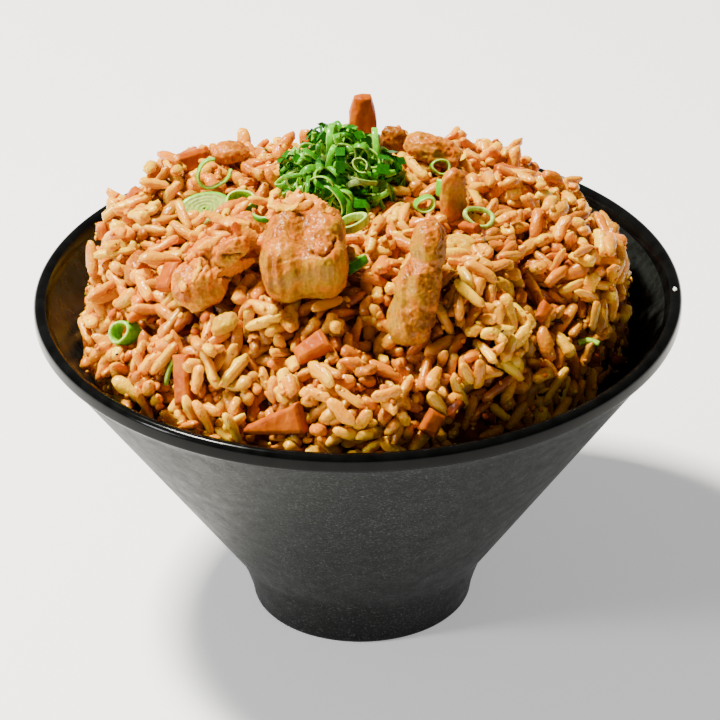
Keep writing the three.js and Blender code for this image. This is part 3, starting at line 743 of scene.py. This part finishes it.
# Chicken
FLESH = rgb(232, 166, 8)
GOLD = rgb(226, 134, 0)
CRUST = rgb(164, 72, 0)
SHADE = rgb(84, 28, 0)
CHICKEN = {
    # Crust: the side that is browned, its reach, the height of the crags, and the fibres' direction.
    # Creases and ribs are lines in mm from the piece's middle, to the picture's right and up.
    # Tone darkens a whole piece's tint: partly its own colour, partly painted shade, most for the piece
    # behind the carrot.
    "chicken_chunk": {
        "crust": (-0.1, 0.5, 0.8), "reach": 0.5, "rough": 0.4, "fibre": (1, 1, 0.3), "smoothing": 400,
        "tone_and_painted_shade": 0.52,
        "creases": [[(1.4, -1), (4, -2), (6, -0.6), (7, 1.8)]],
        "ribs": [[(-8, -2), (-7, -9)], [(-5.8, -2), (-5, -10)]],
    },
    "chicken_shredded": {
        "crust": (-0.3, 0.2, 0.9), "reach": 0.75, "rough": 0.9, "fibre": (0.5, 1, 1), "tone_and_painted_shade": 0.8,
        "creases": [[(1, -3.4), (4, -4), (8, -2.4)], [(2, 1), (6, 1), (9, 0)], [(-6, 2), (-3, 1), (-1, -2)]],
        "ribs": [[(-3.4, 0), (-1.8, -3), (-1.6, -5.4)], [(-3.8, -5), (-2.4, -2.4)], [(2, -0.6), (7, -1.2)]],
    },
    "chicken_crisp_slab": {
        "crust": (0.7, 0.1, 0.6), "reach": 0.75, "rough": 0.5, "fibre": (1, 0.4, 0.4), "smoothing": 30,
        "tone_and_painted_shade": 0.44,
        "creases": [[(-3.4, 8), (-1.8, 5), (-1.4, 2.6)]],
        "ribs": [[(-3, 1.2), (-3.6, -5), (-2.4, -11)]],
    },
    "chicken_right_slice": {"crust": (0.8, 0.2, 0.5), "reach": 0.4, "rough": 0.5, "fibre": (1, 1, 0.3)},
    "chicken_behind_carrot": {
        "crust": (0.2, 0, 1), "reach": 1.2, "rough": 0.5, "fibre": (1, 1, 0.3), "tone_and_painted_shade": 0.3,
    },
    "chicken_left": {"crust": (0.3, 0, 1), "reach": 0.8, "rough": 0.6, "fibre": (1, 0.4, 1)},
    "chicken_top_right": {"crust": (0.4, 0, 0.6), "reach": 0.3, "rough": 0.7, "fibre": (0.4, 1, 1)},
    "chicken_back_left": {"crust": (0, 0, 1), "reach": 0.5, "rough": 0.6, "fibre": (0.5, 1, 1)},
}


def line_share(across, up, line, width):
    """How strongly each place is on a bent line of a width, from 0 to 1."""
    nearest = np.full(len(across), 1.0)
    places = np.c_[across, up]
    for start, end in zip(line, line[1:]):
        start, end = np.array(start) * MM, np.array(end) * MM
        t = np.clip((places - start) @ (end - start) / np.dot(end - start, end - start), 0, 1)
        nearest = np.minimum(nearest, np.linalg.norm(places - start - t[:, None] * (end - start), axis=1))
    return np.exp(-((nearest / width) ** 2))


def make_chicken(node, material):
    """The node's solid with lumps, torn crags, fibres and creases, and its browning as a tint, with painted
    shade in its creases and valleys.
    """
    look = CHICKEN[node]
    points, faces, normals = fine_copy(node, 0.3 * MM, look.get("smoothing", 10))
    crust_side = np.array(look["crust"]) / np.linalg.norm(look["crust"])
    patches = noise_at(points, 5 * MM, 3.1)
    browned = smoothstep(-0.2, 0.5, normals @ crust_side - 0.6 + look["reach"] + 0.4 * patches)
    crags = ridges_at(points, 4.2 * MM, 1.7, look["fibre"]) * 0.6 + ridges_at(points, 1.9 * MM, 5.2) * 0.3
    fibres = ridges_at(points, 1.3 * MM, 8.8, look["fibre"])
    crisp = noise_at(points, 1.1 * MM, 2.2) + 0.5 * noise_at(points, 0.55 * MM, 4.4)
    height = look["rough"] * (0.9 * (crags - 0.45) + 0.3 * noise_at(points, 3.4 * MM, 6.6))
    height += 0.18 * fibres * (1 - browned) + 0.2 * crisp * browned
    away = points - box_middle(node) + 0.5 * MM * np.c_[patches, crisp, patches]
    seen = smoothstep(0.0, 0.4, normals @ VIEW_NEAR)
    cut, rib = np.zeros(len(points)), np.zeros(len(points))
    for line in look.get("creases", ()):
        cut = np.maximum(cut, seen * line_share(away @ VIEW_RIGHT, away @ VIEW_UP, line, 0.4 * MM))
    for line in look.get("ribs", ()):
        rib = np.maximum(rib, seen * line_share(away @ VIEW_RIGHT, away @ VIEW_UP, line, 0.6 * MM))
    height += 0.7 * rib - 0.9 * cut
    points = kept_in_box(points + normals * (height * MM)[:, None], node)
    tint = np.array(FLESH) * (1 - browned[:, None]) + np.array(GOLD) * browned[:, None]
    toasted = (smoothstep(0.3, 1.0, crisp + patches) * browned)[:, None] * 0.7
    tint = tint * (1 - toasted) + np.array(CRUST) * toasted
    # Painted shade: the valleys between the crags are darkened towards the crust colour.
    painted_valley_shade = 0.6 * smoothstep(0.4, 0.1, crags)[:, None]
    tint = tint * (1 - painted_valley_shade) + np.array(CRUST) * painted_valley_shade
    # Painted shade: creases are darkened towards the shade colour, and the whole tint by the piece's tone.
    tint = (tint * (1 - cut[:, None]) + np.array(SHADE) * cut[:, None]) * look.get("tone_and_painted_shade", 0.58)
    piece = make_piece(node + "_cooked", points, faces, [material], tint)
    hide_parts(node)
    return points, faces


def flake(seed, length, width, thick, bend):
    """A thin torn flake along X with ragged edges, its ends bent up. Returns points and faces."""
    rng = np.random.default_rng(seed)
    steps, section = 20, 12
    angles = 2 * math.pi * np.arange(section) / section
    across, level = np.cos(angles), np.sin(angles)
    points = []
    for i in range(steps + 1):
        share = i / steps
        half = 0.5 * width * math.sin(math.pi * (0.08 + 0.86 * share)) ** 0.6
        ragged = np.where(across > 0, rng.uniform(0.7, 1.2), rng.uniform(0.7, 1.2))
        wave = 0.25 * thick * math.sin(share * 9 + seed)
        rise = bend * length * (2 * share - 1) ** 2 + wave
        along = np.full(section, (share - 0.5) * length)
        points.append(np.c_[along, across * half * ragged, rise + level * thick / 2])
    points = np.vstack(points)
    return points, outward(points, tube_faces(steps + 1, section))


FLAKES = {
    # Piece: its flakes' places in mm to the picture's right and up, turn in degrees, length, width and bend
    "chicken_shredded": [
        (2.6, 8.6, -18, 11, 3.6, 0.06), (6.4, 6.6, -30, 7, 3, 0.1), (4, -1.4, 6, 9.5, 3.4, 0.05),
        (6.6, -0.4, 24, 5, 2.4, 0.1), (-3.6, -2.6, 70, 6, 1.6, 0.08), (-7.4, -5, 120, 5, 2.2, 0.1),
        (-1, 3.6, 30, 6, 2.4, 0.08), (0.6, 5.6, -8, 6, 2.2, 0.1), (-5, 1, 50, 5, 2, 0.08),
    ],
    "chicken_chunk": [
        (-3.4, 10.2, 14, 8, 3.6, 0.08), (-0.4, 11, -12, 7, 3.4, 0.1), (2.6, 10, -30, 6, 3, 0.1),
        (-6.2, 8.6, 50, 5, 2.8, 0.1), (-4.6, 8.8, -8, 7, 2.6, 0.1), (-1, 9.2, 22, 6, 2.8, 0.08),
        (-2.4, 11, 40, 5, 2.4, 0.12), (5, 8.4, -44, 4, 2, 0.1),
    ],
}


def make_flakes(node, surface, material):
    """Torn flakes that lie on a chicken piece where a line of sight from the front meets it."""
    tree = BVHTree.FromPolygons([Vector(p) for p in surface[0]], surface[1])
    middle = box_middle(node)
    parts, tints = [], []
    for seed, (across, up, turn, length, width, bend) in enumerate(FLAKES[node]):
        target = middle + (VIEW_RIGHT * across + VIEW_UP * up) * MM
        place, normal, _, _ = tree.ray_cast(Vector(target + VIEW_NEAR * 30 * MM), Vector(-VIEW_NEAR), 60 * MM)
        if place is None:
            place, normal, _, _ = tree.find_nearest(Vector(target))
        points, faces = flake(seed + 1, length * MM, width * MM, 0.9 * MM, bend)
        lie = (Vector(VIEW_NEAR) * 0.7 + normal).normalized()
        points = points @ basis(lie, math.radians(turn)).T + np.array(place) + np.array(normal) * 0.35 * MM
        points = points + 0.12 * MM * noise_at(points, 1.2 * MM)[:, None]
        parts.append((points, faces))
        shade = np.random.default_rng(seed).uniform(0, 1)
        tints.append(np.tile(np.array(FLESH) * shade + np.array(GOLD) * (1 - shade), (len(points), 1)))
    points, faces = joined(parts)
    points[:, 2] = np.minimum(points[:, 2], cad_high[2])
    piece = make_piece(node + "_flakes", points, faces, [material], np.vstack(tints))


# Carrot and egg
CUT_VOXEL = 0.22 * MM


def make_soft_cut(node, material, rough):
    """The node's solid with softened edges and an uneven, cooked surface."""
    points, faces, normals = fine_copy(node, CUT_VOXEL, 5)
    height = 0.6 * noise_at(points, 2.6 * MM, 1.2) + 0.4 * noise_at(points, 1.1 * MM, 7.1)
    points = kept_in_box(points + normals * (height * rough)[:, None], node)
    piece = make_piece(node + "_cooked", points, faces, [material])
    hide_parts(node)
    return points, faces


# Spring onion
SKIN_DARK = rgb(34, 116, 2)
SKIN_BRIGHT = rgb(100, 190, 6)
INNER_GREEN = rgb(150, 212, 20)
EDGE_PALE = rgb(190, 226, 80)
WHITE_FLESH = rgb(226, 232, 140)


def onion_band(radius, wall, height, squash=1.0, turns=1.0, curl=0.0, twist=0.0, pale=0.0, seed=0):
    """Points, faces and tints of a thin slice of a hollow leaf: a band round a loop, or an open curl."""
    rng = np.random.default_rng(seed)
    section = 10
    closed = turns == 1.0
    steps = max(12, int(40 * turns))
    count = steps if closed else steps + 1
    phases = rng.uniform(0, 2 * math.pi, 3)
    angles = 2 * math.pi * np.arange(section) / section
    thick = np.sign(np.cos(angles)) * np.abs(np.cos(angles)) ** 0.7 * wall / 2
    tall = np.sign(np.sin(angles)) * np.abs(np.sin(angles)) ** 0.45 * height / 2
    skin = np.array(SKIN_DARK) + (np.array(SKIN_BRIGHT) - np.array(SKIN_DARK)) * rng.random() ** 0.8
    skin = skin * (1 - pale) + np.array(WHITE_FLESH) * pale * 0.8
    inner = np.array(INNER_GREEN) * rng.uniform(0.65, 1.0) * (1 - pale) + np.array(WHITE_FLESH) * pale
    edge = np.array(EDGE_PALE) * rng.uniform(0.7, 1.0)
    outer_side = smoothstep(-0.4, 0.5, np.cos(angles))[:, None]
    cut = smoothstep(0.8, 0.99, np.abs(np.sin(angles)))[:, None]
    colours = (inner * (1 - outer_side) + skin * outer_side) * (1 - cut) + edge * cut
    points = []
    for i in range(count):
        share = i / steps
        angle = 2 * math.pi * turns * share
        wobble = 1 + 0.08 * math.sin(2 * angle + phases[0]) + 0.05 * math.sin(3 * angle + phases[1])
        reach = (radius - wall / 2) * wobble * (1 + curl * share)
        rise = 0.14 * radius * math.sin(angle + phases[2])
        lean = twist * share
        end = 1.0 if closed else 0.5 + 0.5 * math.sin(math.pi * min(max(share, 0.03), 0.97)) ** 0.35
        out = thick * math.cos(lean) - tall * end * math.sin(lean)
        up = thick * math.sin(lean) + tall * end * math.cos(lean)
        x, y = (reach + out) * math.cos(angle), (reach + out) * math.sin(angle) * squash
        points.append(np.c_[x, y, rise + up])
    points = np.vstack(points)
    faces = outward(points, tube_faces(count, section, closed))
    return points, faces, np.tile(colours, (count, 1))


def onion_disc(radius, height, squash, seed=0):
    """A slice of the solid stalk: pale layers round each other inside a green skin."""
    sides, rings = 56, 16
    points, tints = [(0, 0, 0.25 * height)], [np.array(INNER_GREEN) * 0.6]
    outline = [(k / rings, 0.5 - 0.06 * math.cos(k * 2.1)) for k in range(1, rings)]
    outline += [(1.0, 0.34), (1.02, 0.0), (1.0, -0.34), (0.6, -0.5)]
    for share, level in outline:
        layer = 0.5 + 0.5 * math.cos(share * 19)
        flesh = np.array(WHITE_FLESH) * (0.88 + 0.12 * layer) * (0.56, 0.72, 0.4)
        green = smoothstep(0.8, 0.97, share)
        middle = 0.6 * smoothstep(0.3, 0.05, share)
        colour = flesh * (1 - green) + np.array(SKIN_BRIGHT) * green
        colour = colour * (1 - middle) + np.array(INNER_GREEN) * middle
        for k in range(sides):
            angle = 2 * math.pi * k / sides
            reach = radius * share * (1 + 0.03 * math.sin(3 * angle + seed))
            points.append((reach * math.cos(angle), reach * math.sin(angle) * squash, level * height))
            tints.append(colour)
    points.append((0, 0, -0.5 * height))
    tints.append(np.array(WHITE_FLESH))
    faces = [(0, 1 + k, 1 + (k + 1) % sides) for k in range(sides)]
    for i in range(len(outline) - 1):
        low, high = 1 + i * sides, 1 + (i + 1) * sides
        faces += [(low + k, high + k, high + (k + 1) % sides, low + (k + 1) % sides) for k in range(sides)]
    last = 1 + (len(outline) - 1) * sides
    faces += [(last + k, len(points) - 1, last + (k + 1) % sides) for k in range(sides)]
    points = np.array(points)
    return points, outward(points, faces), np.array(tints)


ONION_SLICES = {
    # Node: lean from the heap's normal and spin, in degrees, then a disc's radius, height and squash, or a
    # band's radius, wall and height, in mm
    "onion_slice_oval": {"lean": 24, "spin": 12, "disc": (6.2, 2.4, 0.66)},
    "onion_curl": {"lean": 58, "spin": 80, "band": (3.5, 0.8, 3.6), "turns": 0.8, "curl": 0.25},
    "onion_ring_bright": {"lean": 42, "spin": 10, "band": (3.3, 0.8, 3.3), "squash": 0.9},
    "onion_ring_left": {"lean": 10, "spin": 10, "band": (3.0, 1.0, 4.2), "squash": 0.9},
    "onion_ring_dark": {"lean": 0, "spin": 0, "band": (3.3, 0.9, 2.2), "squash": 0.8},
    "onion_curl_right": {"lean": 20, "spin": -20, "band": (4, 1.1, 2.3), "squash": 0.62, "pale": 0.5},
    "onion_slice_front": {"lean": 10, "spin": 20, "band": (3.6, 1.0, 2.5), "squash": 0.7, "pale": 0.4},
    "onion_end_back": {"lean": 60, "spin": 5, "band": (2.5, 0.8, 4.8), "squash": 0.75},
    "onion_end_middle": {"lean": 70, "spin": 30, "band": (2.4, 0.8, 4.4), "squash": 0.8},
    "onion_end_right": {"lean": 20, "spin": 80, "band": (2.4, 0.8, 4), "squash": 0.7},
    "onion_hook": {"lean": 0, "spin": 200, "band": (5, 0.9, 1.5), "turns": 0.32},
    "onion_strip_left": {"lean": 0, "spin": 120, "band": (9, 1.0, 1.1), "turns": 0.14},
    "onion_strip_right": {"lean": 0, "spin": 60, "band": (6, 1.4, 1.1), "turns": 0.14},
}


def make_onion_slice(node, seed, heap_tree, material):
    """A slice in its node's place, leaning from the heap's own normal there."""
    look = ONION_SLICES[node]
    middle = box_middle(node)
    _, normal, _, _ = heap_tree.find_nearest(Vector(middle))
    right = Vector((1, 0, 0)) - normal * normal.x
    axis = Matrix.Rotation(math.radians(look["lean"]), 3, right.normalized()) @ normal
    if "disc" in look:
        radius, height, squash = look["disc"]
        points, faces, tints = onion_disc(radius * MM, height * MM, squash, seed)
    else:
        options = {key: look[key] for key in ("squash", "turns", "curl", "pale") if key in look}
        sizes = (size * MM for size in look["band"])
        points, faces, tints = onion_band(*sizes, seed=seed, **options)
    points = points @ basis(axis, math.radians(look["spin"])).T
    points += middle - (points.min(axis=0) + points.max(axis=0)) / 2
    piece = make_piece(node + "_cut", points, faces, [material], tints)
    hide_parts(node)
    return points, faces


MOUND_BANDS = 120
MOUND_SEED = 5


def make_mound(material):
    """A loose pile of onion slices over a small dark green core, painted as the shade between the slices, in
    the mound node's own outline.
    """
    low, high = (np.array(v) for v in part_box("onion_mound"))
    base = low[2] + 1.5 * MM
    middle = np.array([(low[0] + high[0]) / 2, (low[1] + high[1]) / 2, base])
    half = np.array([(high[0] - low[0]) / 2, (high[1] - low[1]) / 2, high[2] - base]) - 2.2 * MM
    rng = np.random.default_rng(MOUND_SEED)
    parts, all_tints = [], []
    for i in range(MOUND_BANDS):
        rise = 1 - (i + 0.5) / MOUND_BANDS
        level = math.sqrt(1 - rise**2)
        angle = i * GOLDEN_ANGLE + rng.uniform(-0.3, 0.3)
        out = np.array([level * math.cos(angle), level * math.sin(angle), rise])
        place = middle + out * half * rng.uniform(0.7, 1.0)
        options = {"squash": rng.uniform(0.5, 0.95), "seed": 100 + i}
        options["pale"] = max(0, rng.normal(-0.15, 0.2))
        if rng.random() > 0.55:
            options["turns"] = rng.uniform(0.55, 1.2)
            options["curl"] = rng.uniform(-0.2, 0.5)
            options["twist"] = rng.uniform(-0.9, 0.9)
        radius = rng.uniform(2.2, 4.3) * MM
        wall = rng.uniform(0.45, 0.7) * MM
        height = rng.uniform(0.9, 2.1) * MM
        points, faces, tints = onion_band(radius, wall, height, **options)
        axis = out * 0.5 + rng.normal(size=3) * 0.8
        band = points @ basis(axis, rng.uniform(0, FULL_TURN)).T + place
        band -= np.maximum(0, band.max(axis=0) - high)
        band += np.maximum(0, low - band.min(axis=0))
        parts.append((band, faces))
        all_tints.append(tints * rng.uniform(0.7, 1.1))
    points, faces = joined(parts)
    piece = make_piece("onion_mound_slices", points, faces, [material], np.vstack(all_tints))
    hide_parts("onion_mound")
    points, faces, normals = fine_copy("onion_mound", 0.5 * MM, 60)
    core_points = kept_in_box(points - normals * 2.0 * MM, "onion_mound")
    # Painted shade: the core is darker than any skin, for the shade under the slices.
    tint = np.tile(np.array(SKIN_DARK) * 0.6, (len(points), 1))
    core = make_piece("onion_mound_painted_shade_core", core_points, faces, [material], tint)
    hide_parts("onion_mound")
    return points, faces


# Crumbs and specks
def blob(seed, sides=7):
    """A small irregular lump of unit size."""
    rng = np.random.default_rng(seed)
    points, rings = [(0, 0, -0.5)], 4
    for i in range(1, rings):
        polar = math.pi * i / rings
        for k in range(sides):
            angle = 2 * math.pi * k / sides
            reach = 0.5 * rng.uniform(0.7, 1.15)
            out = reach * math.sin(polar)
            points.append((out * math.cos(angle), out * math.sin(angle), -reach * math.cos(polar)))
    points.append((0, 0, 0.5))
    return np.array(points), turned_faces(rings - 1, sides)


SCATTER = {
    # Kind: count, least and most size in mm, flatness, dark and light colour, slot
    "fried_crumbs": (900, 0.5, 1.8, 0.6, rgb(184, 90, 0), rgb(222, 140, 0), "rice"),
    "pale_crumbs": (600, 0.5, 1.7, 0.6, rgb(220, 150, 0), rgb(236, 184, 16), "rice"),
    "egg_crumbs": (80, 1.0, 2.8, 0.5, rgb(204, 130, 2), rgb(222, 168, 24), "egg"),
    "carrot_crumbs": (60, 1.2, 2.8, 0.7, rgb(166, 68, 0), rgb(200, 104, 0), "carrot"),
    "pepper_specks": (90, 0.35, 0.7, 0.6, rgb(14, 9, 5), rgb(50, 34, 20), "rice"),
    "green_specks": (14, 1.0, 2.2, 0.4, rgb(18, 70, 4), rgb(60, 130, 14), "onion_green"),
}


def make_scatter(surface, rice_tree):
    """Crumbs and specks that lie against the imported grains, each found by a ray towards the core."""
    middles, facings, shares = open_surface(*surface)
    for kind, (count, least, most, flat, dark, light, slot) in SCATTER.items():
        parts = []
        for pick in draw.choice(len(middles), count, p=shares):
            facing = Vector(facings[pick]).normalized()
            start = Vector(middles[pick] + draw.normal(0, 0.6 * MM, 3)) + facing * 9 * MM
            place, normal, _, _ = rice_tree.ray_cast(start, -facing, 12 * MM)
            if place is None or math.hypot(place.x, place.y) > wall_radius(place.z) - 1.5 * MM:
                continue
            size = (least + (most - least) * draw.random() ** 2) * MM
            points, faces = blob(draw.integers(1000))
            stretch = np.array([size * draw.uniform(0.9, 1.5), size, size * flat])
            turned = (points * stretch) @ basis(normal, draw.uniform(0, FULL_TURN)).T
            parts.append((turned + np.array(place + normal * 0.2 * size * flat), faces))
        points, faces = joined(parts)
        piece = make_piece(kind, points, faces, [crumb_shader(kind, dark, light)])


def make_rim_fleck():
    """The small pale fleck that lies on the rim at the right."""
    points, faces = blob(3, 9)
    angle = math.radians(-2)
    reach = RIM_RADIUS - 1.6 * MM
    place = np.array([reach * math.cos(angle), reach * math.sin(angle), BOWL_HEIGHT + 0.1 * MM])
    shader = crumb_shader("rim_fleck", rgb(225, 222, 210), rgb(245, 243, 236))
    fleck = make_piece("rim_fleck", points * (np.array([1.1, 2.3, 0.5]) * MM) + place, faces, [shader])


# Stage
def make_stage():
    mesh = bpy.data.meshes.new("floor")
    corners = [(x * FLOOR_HALF, y * FLOOR_HALF, 0) for x, y in ((-1, -1), (1, -1), (1, 1), (-1, 1))]
    mesh.from_pydata(corners, [], [(0, 1, 2, 3)])
    mesh.materials.append(floor_shader())
    floor = bpy.data.objects.new("floor", mesh)
    bpy.context.scene.collection.objects.link(floor)
    world = bpy.data.worlds.new("studio")
    world.use_nodes = True
    world.node_tree.nodes["Background"].inputs["Color"].default_value = (1, 1, 1, 1)
    world.node_tree.nodes["Background"].inputs["Strength"].default_value = WORLD_STRENGTH
    bpy.context.scene.world = world


def make_light(name, place, aim, size, power, colour):
    light = bpy.data.lights.new(name, "AREA")
    light.shape = "RECTANGLE"
    light.size, light.size_y = size
    light.energy = power
    light.color = colour
    lamp = bpy.data.objects.new(name, light)
    lamp.location = place
    lamp.rotation_euler = (Vector(aim) - Vector(place)).to_track_quat("-Z", "Y").to_euler()
    bpy.context.scene.collection.objects.link(lamp)


def make_camera():
    camera = bpy.data.objects.new("camera", bpy.data.cameras.new("camera"))
    camera.data.lens = CAMERA_LENS
    camera.data.sensor_width = 36
    camera.data.clip_start = 0.05
    camera.data.clip_end = 50
    camera.location = CAMERA_PLACE
    look = (CAMERA_AIM - CAMERA_PLACE).to_track_quat("-Z", "Y").to_matrix().to_4x4()
    camera.rotation_euler = (look @ Matrix.Rotation(CAMERA_ROLL, 4, "Z")).to_euler()
    bpy.context.scene.collection.objects.link(camera)
    bpy.context.scene.camera = camera


# Assembly
make_camera()
make_stage()
for name, light in LIGHTS.items():
    make_light(name, *light)
make_bowl()

heap = make_core()
heap_tree = BVHTree.FromPolygons([Vector(p) for p in heap[0]], heap[1])
toppings = []
chicken_material = chicken_shader()
for node in CHICKEN:
    toppings.append(make_chicken(node, chicken_material))
    if node in FLAKES:
        make_flakes(node, toppings[-1], chicken_material)
carrot_material, egg_material, onion_material = carrot_shader(), egg_shader(), onion_shader()
for node in sorted(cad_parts):
    if node.startswith("carrot"):
        toppings.append(make_soft_cut(node, carrot_material, 0.12 * MM))
    if node.startswith("egg"):
        toppings.append(make_soft_cut(node, egg_material, 0.35 * MM))
for seed, node in enumerate(ONION_SLICES):
    toppings.append(make_onion_slice(node, seed, heap_tree, onion_material))
toppings.append(make_mound(onion_material))

points, faces = joined(toppings)
grains = pack_grains(heap, BVHTree.FromPolygons([Vector(p) for p in points], faces))
points, faces = joined([heap[:2], *make_rice(grains)])
make_scatter(heap, BVHTree.FromPolygons([Vector(p) for p in points], faces))
make_rim_fleck()
